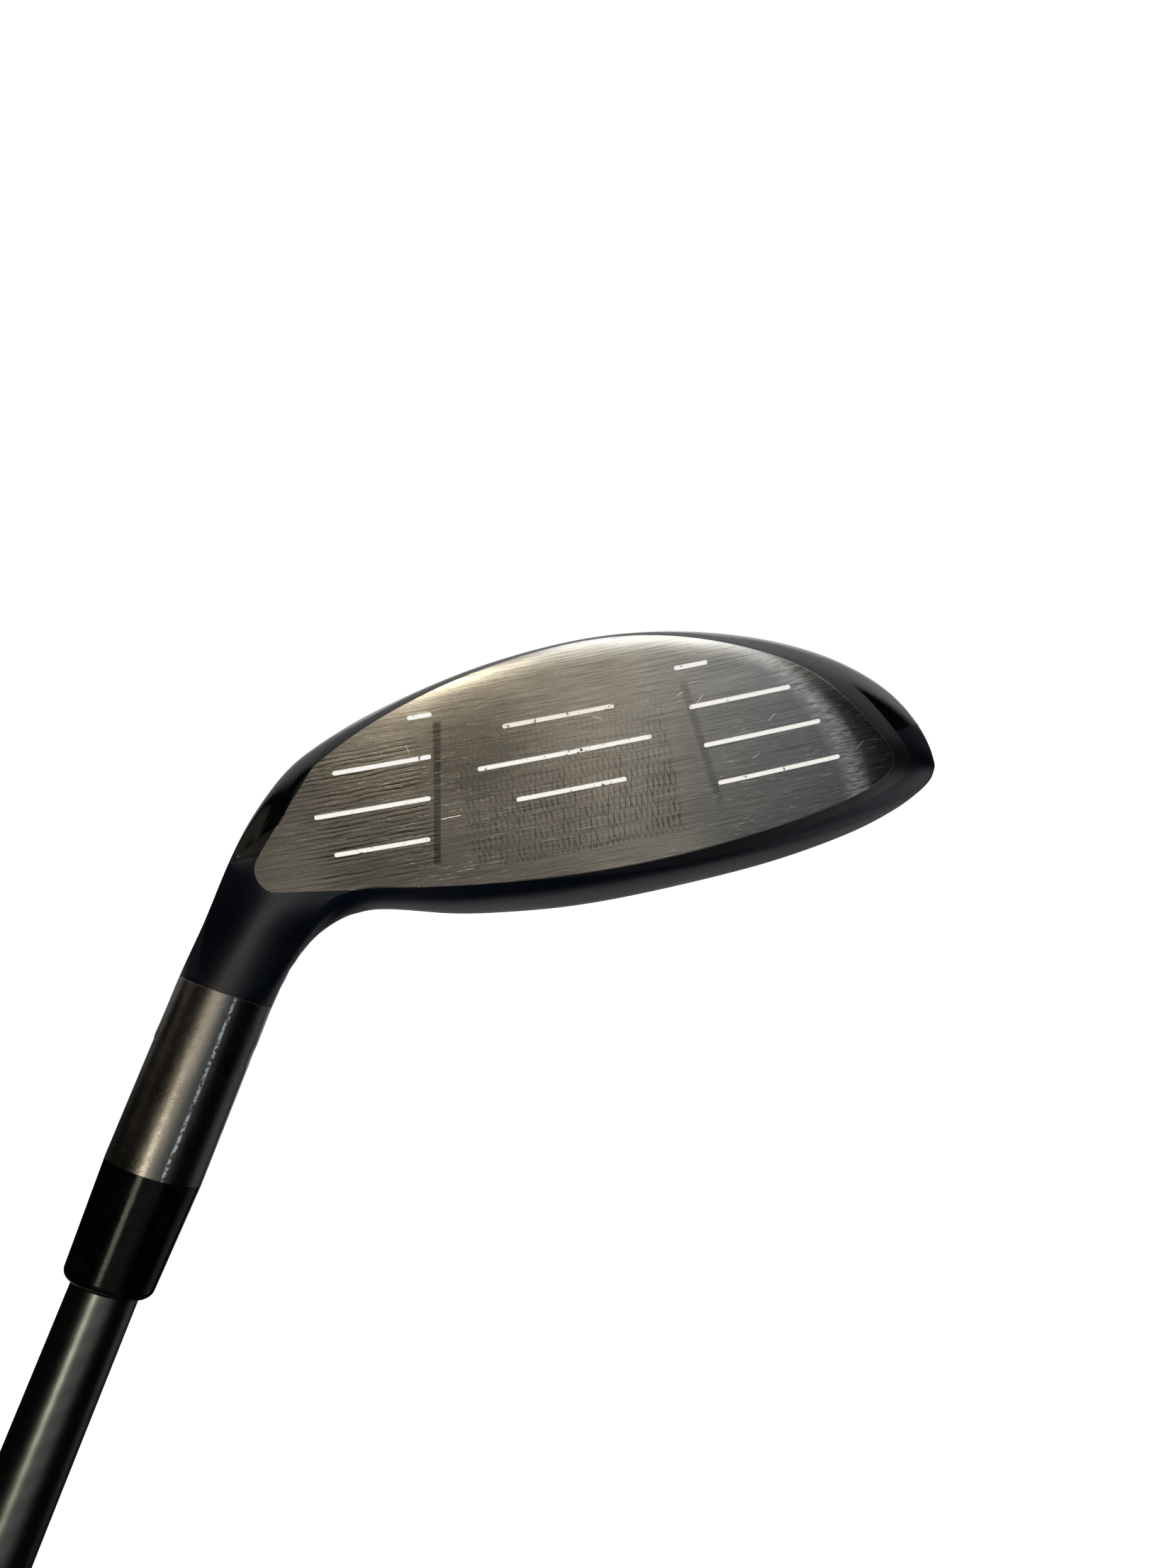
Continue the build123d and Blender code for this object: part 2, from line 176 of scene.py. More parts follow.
studio_radius = 6.0
bpy.ops.mesh.primitive_circle_add(vertices=96, radius=studio_radius, fill_type="NGON")
whiten(bpy.context.object, "floor", mottling=3.0)
bpy.ops.mesh.primitive_uv_sphere_add(segments=96, ring_count=48, radius=studio_radius)
bpy.context.object.data.flip_normals()
whiten(bpy.context.object, "dome", mottling=0.5)

# ---- lamps ------------------------------------------------------------------
# One warm softbox close behind the camera makes the highlights, a wide dim one
# above it lifts the face, and white cards behind and below give the rims.
studio = bpy.data.worlds.new("studio")
scene.world = studio
studio.use_nodes = True
looking = Wire(studio.node_tree).node("ShaderNodeTexCoord", output="Generated")


def glow(heading, height, reach, softness, strength, colour):
    """A lamp in the surround: where it stands, its half width, its edge, how bright it is."""
    turn, lift = math.radians(heading), math.radians(height)
    toward = (math.sin(turn) * math.cos(lift), math.cos(turn) * math.cos(lift), math.sin(lift))
    edge = math.cos(math.radians(reach + softness))
    full = math.cos(math.radians(max(reach - softness, 0)))
    share = looking.along(toward).rise(edge, full)
    return share.tint((0, 0, 0, 1), tuple(strength * tone for tone in colour) + (1,))


warm = (1.0, 0.92, 0.73)
amber = (1.0, 0.88, 0.72)
cream = (1.0, 0.98, 0.93)
ivory = (1.0, 0.99, 0.95)
white = (1.0, 1.0, 1.0)
cool = (0.92, 0.97, 1.0)
pale_blue = (0.95, 0.97, 1.0)
# Degrees from the target line and up from level, half width, edge, brightness, colour.
lamps = [
    glow(-13, 11, 5, 3, 10.5, warm),  # the softbox, and its spill on the wall round it
    glow(-13, 11, 14, 12, 0.25, warm),
    glow(-2, 40, 32, 8, 0.17, cream),  # ceiling in front of the face
    glow(12, 31, 13, 11, 0.26, cream),
    glow(40, 28, 6, 5, 0.42, cool),  # small and cool, at the toe's side
    glow(18, -8, 19, 6, 1.25, ivory),  # card low in front, which lights the edge of the sole
    glow(22, 18, 12, 6, 0.15, ivory),
    glow(60, -48, 26, 10, 0.8, pale_blue),  # cards on the ground, from the toe round to the heel
    glow(128, -38, 18, 10, 0.5, pale_blue),
    glow(180, -22, 30, 8, 0.75, white),
    glow(-135, -42, 18, 10, 0.5, white),
    glow(-68, -44, 16, 6, 0.28, amber),
    glow(140, 24, 16, 8, 0.30, pale_blue),  # cards behind, and one high at the heel's side
    glow(-138, 28, 16, 8, 0.30, white),
    glow(-92, 52, 17, 8, 0.45, white),
]
dim_walls = (0.003, 0.0033, 0.0037)
light = lamps[0]
for more in (*lamps[1:], dim_walls):
    light = light.vector("ADD", more)
studio.node_tree.links.new(light.socket, studio.node_tree.nodes["Background"].inputs["Color"])
scene.view_settings.view_transform = "Standard"

# A large lamp, high in front, that fills the paint and is not mirrored in it.
fill_light = bpy.data.lights.new("fill_light", "AREA")
fill_light.size = 1.0
fill_light.energy = 17
fill = bpy.data.objects.new("fill_light", fill_light)
fill.location = (-0.3, 1.1, 0.8)
fill.rotation_euler = fill.location.to_track_quat("Z", "Y").to_euler()
fill.visible_glossy = False
scene.collection.objects.link(fill)

# ---- head body and crown cover ----------------------------------------------
# The cast steel head is sprayed satin navy over the crown and neck and gloss
# black below, with a taped line between. A band at the top of the hosel stays
# bare steel, dulled and stained by handling.
MM = 0.001
lie = math.radians(60)
shaft_foot = Vector((-36.8, 0.8, 0)) * MM
shaft_way = Vector((-math.cos(lie), 0, math.sin(lie)))
toward_toe = Vector((math.sin(lie), 0, math.cos(lie)))
band_start = 46.7 * MM


def up_the_shaft(place):
    """How far up the shaft's axis from its foot, in metres."""
    return place.vector("SUBTRACT", shaft_foot).along(shaft_way)


def round_the_shaft(place):
    """The turn round the shaft's axis, in radians from the front toward the toe."""
    out = place.vector("SUBTRACT", shaft_foot)
    return out.along(toward_toe).math("ARCTAN2", out.along((0, 1, 0)))


def bumps(height, facing=None):
    """The way the surface faces once this height in millimetres is raised on it."""
    sockets = {"Height": height, "Strength": 1.0, "Distance": MM}
    if facing:
        sockets["Normal"] = facing
    return height.node("ShaderNodeBump", sockets=sockets)


def dress(material, *nodes):
    """Gives CAD nodes a finish."""
    for node in nodes:
        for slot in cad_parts[node].material_slots:
            slot.material = material


material, shader, place = new_finish("head_paint")
ahead = place.along((0, 1, 0))
height = place.along((0, 0, 1))
station = up_the_shaft(place)
turn = round_the_shaft(place)

# The tape line climbs from the middle of the skirt to the corners of the face.
tape_range = {"From Min": -15 * MM, "From Max": 0.0, "To Min": 16.3 * MM, "To Max": 21.3 * MM}
tape_line = place.node("ShaderNodeMapRange", sockets={"Value": ahead, **tape_range})
below = (tape_line - height).rise(-0.05 * MM, 0.05 * MM)
# The paint ends at the bare band in a ragged edge, with a thin near-black line painted before it as
# painted shade under the paint's edge, over a slight groove.
ragged = (place.noise(700, 4) - 0.5) * 0.5 * MM
steel = (station + ragged).rise(band_start - 0.08 * MM, band_start + 0.08 * MM)
paint_edge_shade = abs(station + ragged - band_start + 0.25 * MM).rise(0.3 * MM, 0.1 * MM)

specks = place.noise(4200, 3).rise(0.71, 0.77) * place.noise(140).rise(0.45, 0.6)
navy = specks.tint((0.0006, 0.0014, 0.0046, 1), (0.02, 0.02, 0.022, 1))
rubs = place.stretched(300, 40, 300).noise(1, 4).rise(0.66, 0.78)
scuffs = rubs * height.rise(7 * MM, 2 * MM)
black = scuffs.tint((0.0016, 0.0015, 0.0015, 1), (0.09, 0.085, 0.08, 1))
stains = place.noise(180, 3).rise(0.30, 0.70)
freckles = place.noise(1500, 2).rise(0.50, 0.75)
bare = stains.tint((0.255, 0.237, 0.212, 1), (0.31, 0.288, 0.258, 1))
bare = (freckles * 0.3).tint(bare, (0.14, 0.13, 0.12, 1))
# The band is painted darker round to the toe's side, as painted shade, with one thin painted
# highlight streak left bright in it.
toe_side_shade = turn.rise(0.16, 0.42) * 0.8
bare = toe_side_shade.tint(bare, (0.085, 0.088, 0.085, 1))
# A thin cool painted highlight down the band, standing in for the reflection of a narrow lamp.
painted_glint_turn = 0.52
painted_glint_shape = abs(turn - painted_glint_turn - (place.noise(350, 3) - 0.5) * 0.05).rise(0.045, 0.015)
painted_glint = painted_glint_shape * place.noise(2300, 3).rise(0.36, 0.60)
bare = painted_glint.tint(bare, (0.85, 0.90, 0.95, 1))
colour = steel.tint(below.tint(navy, black), bare)
# The near-black painted shade along the paint's edge.
colour = (paint_edge_shade * (1 - below)).tint(colour, (0.0005, 0.0005, 0.0006, 1))

# The neck is blended by hand on the belt, so it faces out from the shaft as the hosel does.
# Lower down it turns more to the front, and a little more to the toe.
faces = place.node("ShaderNodeNewGeometry", output="Normal")
aside = place.vector("SUBTRACT", shaft_foot).along(toward_toe)
ease = (band_start - station).math("MAXIMUM", 0.0) * 0.9
aside = aside + ease * 0.16 * station.rise(27 * MM, 37 * MM)
round_out = place.node("ShaderNodeCombineXYZ", sockets={"Y": ahead - shaft_foot.y + ease})
round_out = round_out.vector("ADD", aside.stretched(*toward_toe)).vector("NORMALIZE")
blended = station.rise(20 * MM, 34 * MM) * faces.along((0, 1, 0)).rise(0.10, 0.55)
# The Mix node's vectors are its sockets 4 and 5, and the mixed one is its output 1.
facing = place.node(
    "ShaderNodeMix", {"data_type": "VECTOR"}, {0: blended, 4: faces, 5: round_out}, 1
).vector("NORMALIZE")

satin = 0.31 + 0.07 * place.noise(1300, 3) + 0.05 * place.noise(60, 2)
gloss = 0.04 + 0.09 * place.noise(300, 4) + 0.3 * scuffs
dull = 0.25 + 0.08 * freckles + 0.05 * stains
roughness = satin + (gloss - satin) * below
roughness = roughness + (dull - roughness) * steel
grain = place.noise(2600, 2) * (0.004 + 0.004 * steel) * (1 - 0.8 * below)
dents = place.noise(850, 1) * 0.016 * steel
feed(
    shader,
    Base_Color=colour,
    Metallic=steel * (1 - paint_edge_shade),
    Roughness=roughness,
    Normal=bumps(grain + dents - 0.02 * paint_edge_shade, facing),
)
dress(material, "head_body", "crown_cover")

# ---- face insert ------------------------------------------------------------
# The face is a thin curved plate of strong steel, welded into the front of the head.
# It is milled in level lines, with a cross-hatched patch in the middle, a blasted bar
# each side of that, and a polished arc where it turns into the toe.
loft = math.radians(25)
face_middle = Vector((-5.0, 5.3, 18.6)) * MM
face_up = Vector((0, -math.sin(loft), math.cos(loft)))
face_out = Vector((0, math.cos(loft), math.sin(loft)))
face_radius = 279.4 * MM
face_centre = face_middle - face_out * face_radius

# Sizes on the plate are in millimetres, across toward the toe and up from its middle.
material, shader, place = new_finish("milled_face")
out = place.vector("SUBTRACT", face_middle)
across = out.along((1 / MM, 0, 0))
up = out.along(face_up / MM)
flat = place.node("ShaderNodeCombineXYZ", sockets={"X": across, "Y": up})
from_centre = place.vector("DISTANCE", face_centre, output="Value")
front = (face_radius - from_centre).rise(0.15 * MM, 0.05 * MM)

# Level milling lines, broken up, and the slow change of tone between cuts.
lines = flat.stretched(0.10, 4.2, 1).noise(1, 4, 0.6)
hair = flat.stretched(0.30, 10.0, 1).noise(1, 3, 0.6)
tone = flat.stretched(0.06, 0.16, 1).noise(1, 3)
sandy = flat.noise(7, 3, 0.7)

# Deeper cuts at the heel, wavering and wide apart.
furrow_pitch = 0.68
heel_part = across.rise(-20, -23) * across.rise(-46, -36) * abs(up - 1).rise(12, 8)
waver = (flat.stretched(0.16, 0.5, 1).noise(1, 3) - 0.5) * 0.8
furrows = (up + across * 0.02 + waver).wave(furrow_pitch).rise(-0.1, 0.9) * heel_part
furrows = furrows * (0.5 + 0.5 * flat.stretched(0.06, 0.6, 1).noise(1, 3).rise(0.38, 0.55))

# The cross-hatched patch: two sets of cuts that lean a little either way.
hatch_pitch = 0.86
hatch_leans = (-0.21, 0.19)
patch = abs(across + 0.4).rise(16.8, 15.8) * up.rise(-11.0, -6.0) * up.rise(12.9, 12.2)
sway = (flat.stretched(0.25, 0.12, 1).noise(1, 2) - 0.5) * 0.5
cuts = sum((across + up * lean + sway).wave(hatch_pitch).rise(0.74, 1.0) for lean in hatch_leans)
worn = 0.5 + 0.5 * flat.stretched(0.7, 0.35, 1).noise(1, 3).rise(0.40, 0.58)
cuts = cuts.math("MINIMUM", 1.0) * worn * patch * (0.3 + 0.7 * up.rise(-9.0, 6.0))

# The two blasted bars, which lean with the ends of the scorelines.
heel_bar = abs(across + 19.85 + up * 0.2).rise(0.62, 0.40) * abs(up).rise(10.9, 10.3)
toe_bar = abs(across - 20.6 - up * 0.144).rise(0.80, 0.35) * abs(up).rise(10.6, 8.6)

# The rounded leading edge above the sole, burnished by turf and painted near white along it, partly
# as a painted highlight. Its height on the plate is a curve of the fourth order, with these terms
# from the highest down.
edge_terms = (7.3e-7, 1.68e-5, 6.014e-3, -0.0487, -18.35)
sole_edge = across * edge_terms[0] + edge_terms[1]
for term in edge_terms[2:]:
    sole_edge = sole_edge * across + term
from_sole = up - sole_edge
rounding = (from_sole * -0.9).math("EXPONENT") * across.rise(-30, 2)
burnish_and_highlight = from_sole.rise(3.6, 0.2) * across.rise(-28, 4)

# A patch low on the heel side painted darker, as painted shade, and the ends and middle of the face
# painted lighter, as painted highlights.
shade_patch_middle = (-13.5, -6.0, 0)
painted_shade_patch = flat.vector("DISTANCE", shade_patch_middle, output="Value").rise(13.0, 2.0)
heel_highlight = 0.7 * across.rise(-31, -44) * up.rise(-5, 9)
toe_highlight = 0.42 * across.rise(8, 30) * up.rise(-2, -11)
painted_highlights = heel_highlight + toe_highlight + 0.22 * abs(across - 9).rise(12, 3)

# The polished arc where the face rolls back into the toe, painted near white partly as a painted
# highlight, and the dull rim past it.
past_arc = across - (41.3 + up * 0.53 - up * up * 0.0193)
streaks = flat.stretched(0.45, 3.4, 1).noise(1, 3, 0.65).rise(0.34, 0.66)
polish_and_highlight = abs(past_arc + 0.3).rise(3.4, 0.2) * streaks
rolled = (past_arc + 0.6).math("MAXIMUM", 0.0)
rim = past_arc.rise(1.0, 2.4)


def knock(start, end):
    """A short straight dent in the plate, from one place to another."""
    way = Vector(end) - Vector(start)
    length = way.length
    way.normalize()
    run = across * way.x + up * way.y - (start[0] * way.x + start[1] * way.y)
    aside = across * way.y - up * way.x - (start[0] * way.y - start[1] * way.x)
    inside = abs(run - length / 2).rise(length / 2 + 0.15, length / 2 - 0.25)
    return abs(aside).rise(0.11, 0.03) * inside


def scratches(turn, scale):
    """Fine scratches that lie one way, where the plate is scuffed."""
    sockets = {"Vector": flat, "Rotation": (0, 0, math.radians(turn)), "Scale": scale}
    scored = flat.node("ShaderNodeMapping", {"vector_type": "POINT"}, sockets).noise(1, 2)
    return 0.6 * scored.rise(0.67, 0.73) * scuffed


scuffed = flat.noise(0.13, 2).rise(0.38, 0.56) + 0.8 * across.rise(12, 24) * up.rise(-1, 7)
marks = [
    knock((32.8, -2.3), (31.4, -1.4)),
    knock((46.4, 4.8), (44.9, 6.0)),
    knock((44.4, 2.9), (43.7, 3.6)),
    knock((22.0, -7.3), (20.8, -6.2)),
    knock((19.2, -8.4), (17.9, -7.9)),
    knock((29.3, 3.2), (28.0, 3.9)),
    knock((5.0, -7.3), (6.4, -6.6)),
    knock((-22.9, -8.0), (-22.6, -6.8)),
    knock((-20.0, 3.8), (-16.9, 3.7)),
    scratches(38, (0.22, 5.0, 1)),
    scratches(-12, (0.16, 5.5, 1)),
    scratches(75, (0.3, 6.0, 1)),
]
nicks = sum(marks).math("MINIMUM", 1.0)

brown = tone.tint((0.445, 0.395, 0.335, 1), (0.535, 0.485, 0.42, 1))
grey = tone.tint((0.31, 0.328, 0.33, 1), (0.43, 0.448, 0.45, 1))
base = across.rise(2, 36).tint(brown, grey)
# Near white along the sole edge: burnish, and partly a painted highlight.
base = burnish_and_highlight.tint(base, (0.96, 0.94, 0.88, 1))
shade = 0.62 + 0.42 * lines.rise(0.30, 0.64) - 0.30 * hair.rise(0.54, 0.70)
shade = shade + 0.22 * (sandy - 0.5) - 0.56 * furrows - 0.48 * cuts
shade = shade - 0.42 * heel_bar - 0.22 * toe_bar - 0.35 * rim
# The milled tone, darkened by the painted shade patch and lifted by the painted highlights.
base = base.scaled(shade * (1 - 0.42 * painted_shade_patch + painted_highlights))
# The toe arc painted near white: polish, and partly a painted highlight.
base = (polish_and_highlight * (1 - rim)).tint(base, (0.97, 0.99, 1.0, 1))
base = nicks.tint(base, (0.95, 0.94, 0.90, 1))
pocket_black = (0.006, 0.006, 0.007, 1)
pocket_roughness = 0.35
roughness = 0.19 + 0.09 * lines + 0.06 * sandy + 0.12 * cuts + 0.10 * polish_and_highlight + 0.08 * rim
relief = 0.009 * lines + 0.004 * hair + 0.004 * sandy - 0.010 * furrows - 0.007 * cuts
relief = relief + 0.012 * nicks - 0.02 * heel_bar - 0.42 * rounding - 0.018 * rolled * rolled
relief = relief + 0.02 * polish_and_highlight * hair
feed(
    shader,
    Base_Color=front.tint(pocket_black, base),
    Metallic=front,
    Roughness=pocket_roughness + (roughness - pocket_roughness) * front,
    Normal=bumps(relief),
)
dress(material, "face_insert")

# ---- scoreline paint --------------------------------------------------------
# White enamel is wiped into the scorelines and stays a little below the face.
# Play has chipped it, most of all in the middle lines.
score_width = 0.8 * MM
score_sunk = 0.16 * MM
score_step = 0.13 * MM
# Millimetres on the plate again: how far each row reaches, from the lowest row up.
side_pitch, side_lowest, side_inner, side_splay = 6.15, -12.0, 20.8, math.radians(12)
heel_reaches = (21.9, 34.4, 38.5, 36.8)
toe_reaches = (23.4, 35.6, 39.6, 42.0)
middle_pitch, middle_lowest = 5.6, -8.3
middle_halves = (8.4, 13.2, 8.4)
score_ends = []
for way, reaches in ((-1, heel_reaches), (1, toe_reaches)):
    for row, reach in enumerate(reaches):
        level = side_lowest + row * side_pitch
        inner = side_inner + level * math.tan(side_splay)
        score_ends.append((way * inner, way * reach, level))
for row, half in enumerate(middle_halves):
    score_ends.append((-half, half, middle_lowest + row * middle_pitch))

material, shader, place = new_finish("white_enamel")
height = place.along((0, 0, 1 / MM))
middle = abs(place.along((1 / MM, 0, 0)) + 5).rise(14.5, 13.5)
chips = place.noise(1500, 4).rise(0.60, 0.66) * place.noise(260, 2).rise(0.50, 0.60)
chips = chips + middle * place.noise(1100, 4).rise(0.62, 0.68) * height.rise(20, 9)
chips = chips.math("MINIMUM", 1.0)
yellowed = middle * height.rise(15, 9) * 0.6 + 0.25 * place.noise(500, 3)
enamel = yellowed.tint((0.88, 0.88, 0.86, 1), (0.74, 0.68, 0.56, 1))
feed(
    shader,
    Base_Color=chips.tint(enamel, (0.07, 0.06, 0.05, 1)),
    Roughness=0.42 + 0.25 * place.noise(2000, 3),
    Normal=bumps(0.012 * place.noise(2500, 3) - 0.012 * chips),
)

# The guide is drawn on the flat: x toward the toe, y up the face.
points = [
    (side * MM, level * MM, 0)
    for start, end, level in score_ends
    for side in sorted((start, end))
]
guide = bpy.data.meshes.new("score_guide")
guide.from_pydata(points, [(at, at + 1) for at in range(0, len(points), 2)], [])


def new_tree(name, **inputs):
    """An empty Geometry Nodes tree with these named inputs, and its wires by name."""
    tree = bpy.data.node_groups.new(name, "GeometryNodeTree")
    tree.interface.new_socket("Geometry", in_out="INPUT", socket_type="NodeSocketGeometry")
    tree.interface.new_socket("Geometry", in_out="OUTPUT", socket_type="NodeSocketGeometry")
    for label, kind in inputs.items():
        tree.interface.new_socket(label, in_out="INPUT", socket_type="NodeSocket" + kind)
    entry = tree.nodes.new("NodeGroupInput")
    return tree, {socket.name: Wire(tree, socket) for socket in entry.outputs if socket.name}


def grown(name, guide, tree, result, **values):
    """The plain mesh that a tree makes of a guide mesh, as a piece of its own."""
    leave = tree.nodes.new("NodeGroupOutput")
    tree.links.new(result.socket, leave.inputs[0])
    seed = bpy.data.objects.new(name + "_guide", guide)
    scene.collection.objects.link(seed)
    modifier = seed.modifiers.new(name, "NODES")
    modifier.node_group = tree
    for item in tree.interface.items_tree:
        if item.in_out == "INPUT" and item.name in values:
            modifier[item.identifier] = values[item.name]
    evaluated = seed.evaluated_get(bpy.context.evaluated_depsgraph_get())
    mesh = bpy.data.meshes.new_from_object(evaluated)
    bpy.data.objects.remove(seed)
    mesh.name = name
    piece = bpy.data.objects.new(name, mesh)
    scene.collection.objects.link(piece)
    return piece


tree, given = new_tree(
    "score_paint", Width="Float", Sunk="Float", Radius="Float", Step="Float", Finish="Material"
)
width, radius = given["Width"], given["Radius"]
curve = width.node("GeometryNodeMeshToCurve", sockets={"Mesh": given["Geometry"]})
curve = curve.node(
    "GeometryNodeResampleCurve", {"mode": "LENGTH"}, {"Curve": curve, "Length": given["Step"]}
)
# The ends are round, as the cutter left them.
run = curve.node("GeometryNodeSplineParameter", output="Length")
whole = curve.node("GeometryNodeSplineLength", output="Length")
to_end = run.math("MINIMUM", whole - run) / (width * 0.5)
short = 1.0 - to_end.math("MINIMUM", 0.98)
fullness = (1.0 - short * short).math("SQRT")
curve = curve.node("GeometryNodeSetCurveRadius", sockets={"Curve": curve, "Radius": fullness})
outline = curve.node(
    "GeometryNodeCurvePrimitiveCircle", sockets={"Resolution": 10, "Radius": width * 0.49}
)
tube = curve.node(
    "GeometryNodeCurveToMesh",
    sockets={"Curve": curve, "Profile Curve": outline, "Fill Caps": True},
)
# Bent to the face: level with its bulge, thinned, and set a little below it.
spot = tube.node("GeometryNodeInputPosition")
beside, above, deep = spot.along((1, 0, 0)), spot.along((0, 1, 0)), spot.along((0, 0, 1))
bulge = radius - (radius * radius - beside * beside - above * above).math("SQRT")
sunk = bulge + given["Sunk"] + deep * 0.3
bent = tube.node("ShaderNodeCombineXYZ", sockets={"X": beside, "Y": above, "Z": sunk})
tube = tube.node("GeometryNodeSetPosition", sockets={"Geometry": tube, "Position": bent})
tilt = (math.pi / 2 + loft, 0, 0)
tube = tube.node(
    "GeometryNodeTransform",
    sockets={"Geometry": tube, "Translation": face_middle, "Rotation": tilt},
)
tube = tube.node("GeometryNodeRealizeInstances", sockets={"Geometry": tube})
tube = tube.node(
    "GeometryNodeSetMaterial", sockets={"Geometry": tube, "Material": given["Finish"]}
)
score_paint = grown(
    "score_paint",
    guide,
    tree,
    tube,
    Width=score_width,
    Sunk=score_sunk,
    Radius=face_radius,
    Step=score_step,
    Finish=material,
)
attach(score_paint, "root")

# ---- ferrule ----------------------------------------------------------------
# A turned collar of black cellulose, slid down the shaft and buffed flush with
# the hosel. Fine turning marks are left in the polish.
material, shader, place = new_finish("polished_ferrule")
station = up_the_shaft(place) / MM
turning = station.node(
    "ShaderNodeTexNoise", {"noise_dimensions": "1D"}, {"W": station, "Scale": 9, "Detail": 3}
)
smears = place.noise(420, 4)
hazy = smears.rise(0.4, 0.7)
feed(
    shader,
    Base_Color=hazy.tint((0.0004, 0.0004, 0.0005, 1), (0.0015, 0.0015, 0.0018, 1)),
    Roughness=0.06 + 0.10 * smears + 0.05 * turning,
    IOR=1.22,
    Normal=bumps(0.002 * turning + 0.010 * place.noise(1500, 3)),
)
dress(material, "ferrule")

# ---- shaft ------------------------------------------------------------------
# A tapered tube of wrapped carbon fibre, glued into the hosel. It is sanded and
# sprayed with a dark charcoal lacquer that has a fine metal flake in it.
material, shader, place = new_finish("charcoal_lacquer")
wrap_pitch = 3.2 * MM
wrap = (up_the_shaft(place) * 0.9 + round_the_shaft(place) * 0.0035).wave(wrap_pitch)
flake = place.noise(6000, 2).rise(0.55, 0.75)
cloudy = place.noise(90, 3)
base = cloudy.tint((0.098, 0.108, 0.102, 1), (0.122, 0.134, 0.127, 1))
base = (flake * 0.3).tint(base, (0.12, 0.13, 0.13, 1))
feed(
    shader,
    Base_Color=base.scaled(1.0 + 0.08 * wrap),
    Metallic=1.0,
    Roughness=0.25 + 0.08 * cloudy + 0.05 * flake,
    Normal=bumps(0.0025 * place.noise(3000, 3) + 0.001 * wrap),
)
dress(material, "shaft")

# ---- tip plug ---------------------------------------------------------------
# A soft foam stopper, pushed up inside the tip of the shaft before it is glued
# into the hosel. It keeps the glue from running up the tube.
material, shader, place = new_finish("foam_plug")
cells = place.noise(3500, 2)
feed(
    shader,
    Base_Color=cells.tint((0.50, 0.46, 0.38, 1), (0.70, 0.66, 0.56, 1)),
    Roughness=0.85 + 0.1 * cells,
    Normal=bumps(0.05 * cells),
)
dress(material, "tip_plug")

# ---- sole weight ------------------------------------------------------------
# A turned steel screw in the back of the sole, with a star socket. Its head
# keeps the rings of the lathe, and its rim is polished by the turf.
weight_middle = Vector((1.0, -27.0, 0.0)) * MM
lathe_pitch = 0.35 * MM
material, shader, place = new_finish("turned_steel")
out = place.vector("SUBTRACT", weight_middle)
from_axis = out.stretched(1, 1, 0).vector("LENGTH", output="Value")
rings = from_axis.wave(lathe_pitch)
dirt = place.noise(600, 4).rise(0.45, 0.7)
polished = from_axis.rise(5.6 * MM, 6.3 * MM)
base = (polished * 0.6).tint((0.36, 0.355, 0.34, 1), (0.62, 0.61, 0.59, 1))
feed(
    shader,
    Base_Color=(dirt * 0.6).tint(base, (0.09, 0.08, 0.065, 1)),
    Metallic=1.0 - 0.5 * dirt,
    Roughness=0.34 - 0.12 * polished + 0.25 * dirt,
    Normal=bumps(0.004 * rings + 0.008 * place.noise(1800, 3)),
)
dress(material, "sole_weight")

# ---- grip tape --------------------------------------------------------------
# Double-sided paper tape, wound in a slow spiral round the butt of the shaft.
# Wetted, it lets the grip slide on, and it holds the grip once it is dry.
material, shader, place = new_finish("paper_tape")
lap_pitch = 12 * MM
wound = up_the_shaft(place) + round_the_shaft(place) * 4 * MM
lap = wound.math("PINGPONG", lap_pitch).rise(0.6 * MM, 0.0)
fibres = place.noise(1400, 4)
feed(
    shader,
    Base_Color=(0.5 * lap + 0.4 * fibres).tint((0.74, 0.69, 0.56, 1), (0.56, 0.50, 0.38, 1)),
    Roughness=0.75 + 0.15 * fibres,
    Normal=bumps(0.03 * fibres + 0.04 * lap),
)
dress(material, "grip_tape")

# ---- grip and grip cap ------------------------------------------------------
# A slip-on grip and its butt cap, moulded from black rubber and held by the tape.
# Small round pips stand in staggered rings between a plain mouth and collar.
grip_start = 728.0 * MM
first_ring = grip_start + 28 * MM
ring_pitch = 3.6 * MM
pip_width = 1.5 * MM
pip_height = 0.32 * MM

rubber, shader, place = new_finish("moulded_rubber")
grain = place.noise(2200, 4, 0.6)
patchy = place.noise(45, 3)
held_part = up_the_shaft(place).rise(grip_start + 60 * MM, grip_start + 150 * MM)
held = held_part * patchy.rise(0.4, 0.7)
base = patchy.tint((0.011, 0.011, 0.012, 1), (0.021, 0.021, 0.022, 1))
base = (0.5 * grain.rise(0.55, 0.75)).tint(base, (0.042, 0.042, 0.042, 1))
seam = abs(round_the_shaft(place)).rise(0.012, 0.004)
feed(
    shader,
    Base_Color=base,
    Roughness=0.62 + 0.2 * grain - 0.14 * held,
    Normal=bumps(0.04 * grain + 0.03 * seam),
)
dress(rubber, "grip", "grip_cap")

tree, given = new_tree(
    "grip_pips",
    Start="Float",
    Pitch="Float",
    Rings="Int",
    Around="Int",
    Width="Float",
    Height="Float",
    Grip="Object",
    Rubber="Material",
)
around, width = given["Around"], given["Width"]
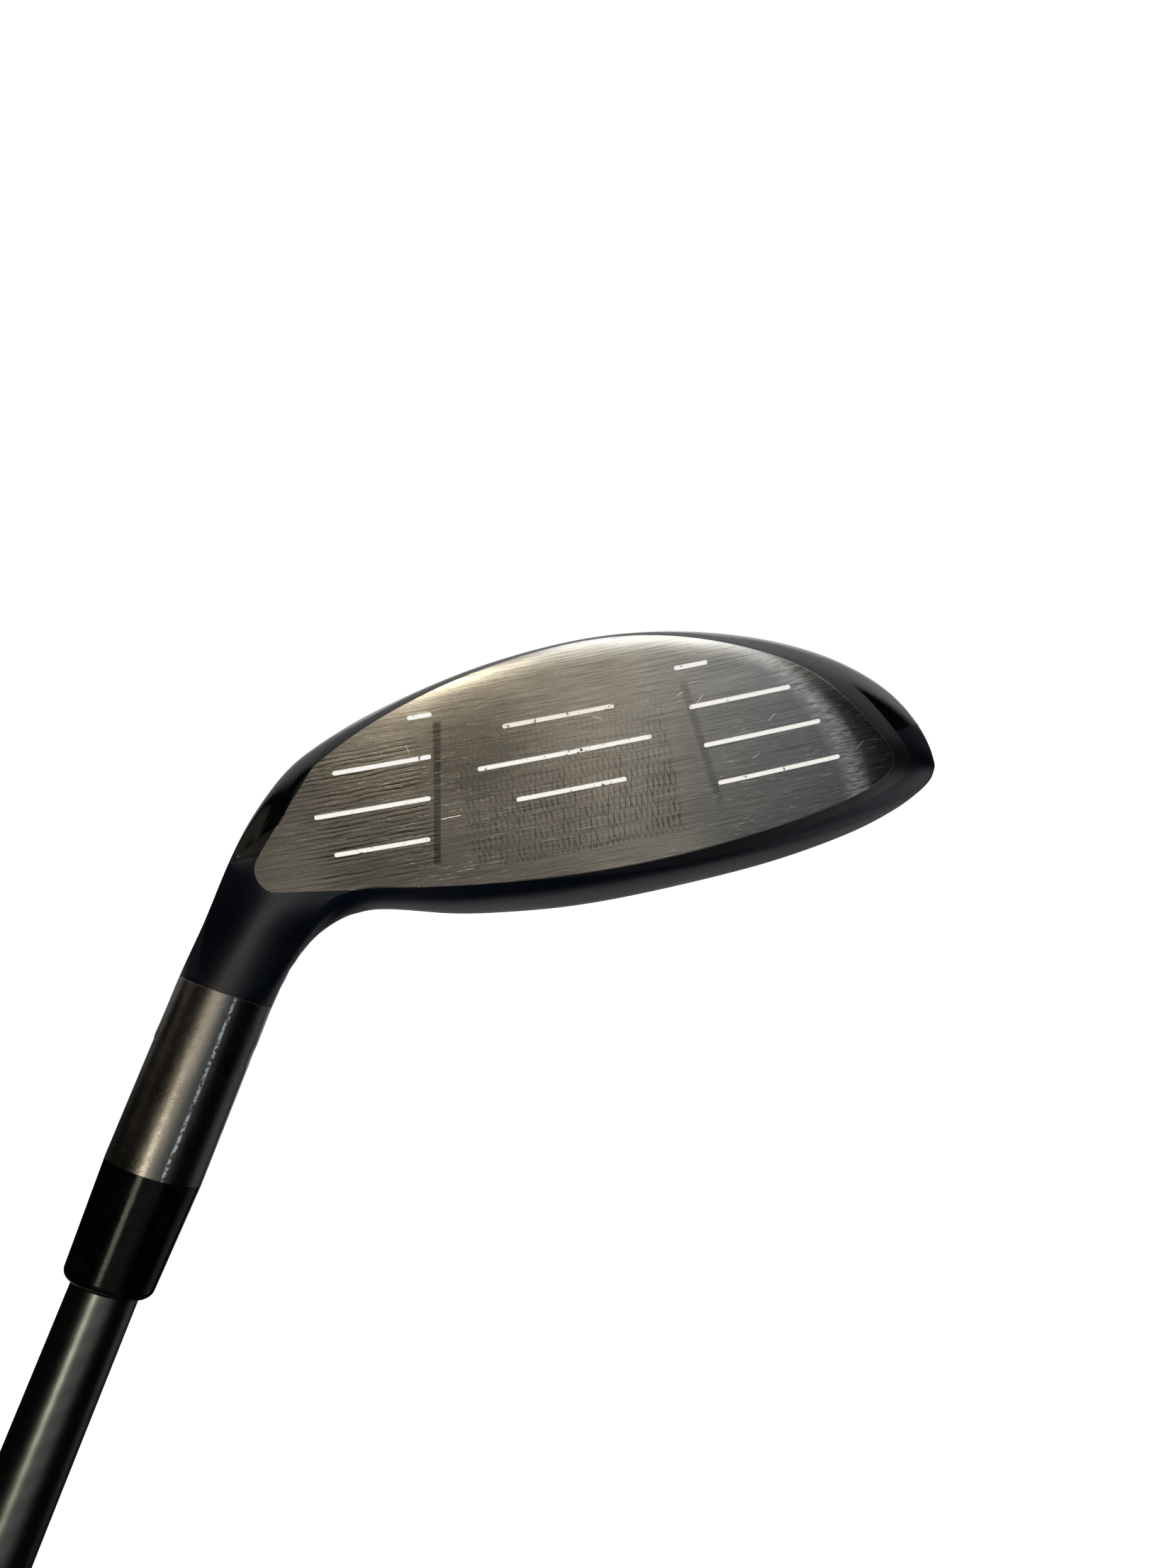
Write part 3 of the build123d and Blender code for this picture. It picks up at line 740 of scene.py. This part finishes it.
# One point for each pip, on a line; its ring and place in the ring come from its number.
line = around.node(
    "GeometryNodeMeshLine", sockets={"Count": given["Rings"] * around, "Offset": (0, 0, 0)}
)
number = line.node("GeometryNodeInputIndex")
ring = (number / around).math("FLOOR")
stagger = ring.math("MODULO", 2.0) * 0.5 / around
turn = (number / around - ring + stagger) * (2 * math.pi)
station = given["Start"] + ring * given["Pitch"]
outward = turn.math("SINE").stretched(*toward_toe)
outward = outward.vector("ADD", turn.math("COSINE").stretched(0, 1, 0))
# Each point starts well clear of the grip and is brought straight in onto the rubber.
clear = 30 * MM
on_axis = station.stretched(*shaft_way).vector("ADD", shaft_foot)
far = on_axis.vector("ADD", outward.scaled(clear))
line = line.node("GeometryNodeSetPosition", sockets={"Geometry": line, "Position": far})
sleeve = line.node(
    "GeometryNodeObjectInfo", {"transform_space": "RELATIVE"}, {"Object": given["Grip"]}, "Geometry"
)
landed = line.node(
    "GeometryNodeRaycast",
    sockets={
        "Target Geometry": sleeve,
        "Source Position": far,
        "Ray Direction": outward.scaled(-1.0),
        "Ray Length": clear,
    },
    output="Hit Position",
)
line = line.node("GeometryNodeSetPosition", sockets={"Geometry": line, "Position": landed})
pip = line.node("GeometryNodeMeshUVSphere", sockets={"Segments": 8, "Rings": 6, "Radius": 1.0})
half = width / 2
spread = line.node("ShaderNodeCombineXYZ", sockets={"X": half, "Y": half, "Z": given["Height"]})
upright = line.node("FunctionNodeAlignRotationToVector", {"axis": "Z"}, {"Vector": outward})
pips = line.node(
    "GeometryNodeInstanceOnPoints",
    sockets={"Points": line, "Instance": pip, "Rotation": upright, "Scale": spread},
)
pips = pips.node("GeometryNodeRealizeInstances", sockets={"Geometry": pips})
pips = pips.node(
    "GeometryNodeSetMaterial", sockets={"Geometry": pips, "Material": given["Rubber"]}
)
grip_pips = grown(
    "grip_pips",
    bpy.data.meshes.new("pip_guide"),
    tree,
    pips,
    Start=first_ring,
    Pitch=ring_pitch,
    Rings=58,
    Around=22,
    Width=pip_width,
    Height=pip_height,
    Grip=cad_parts["grip"],
    Rubber=rubber,
)
grip_pips.data.shade_smooth()
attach(grip_pips, "root")
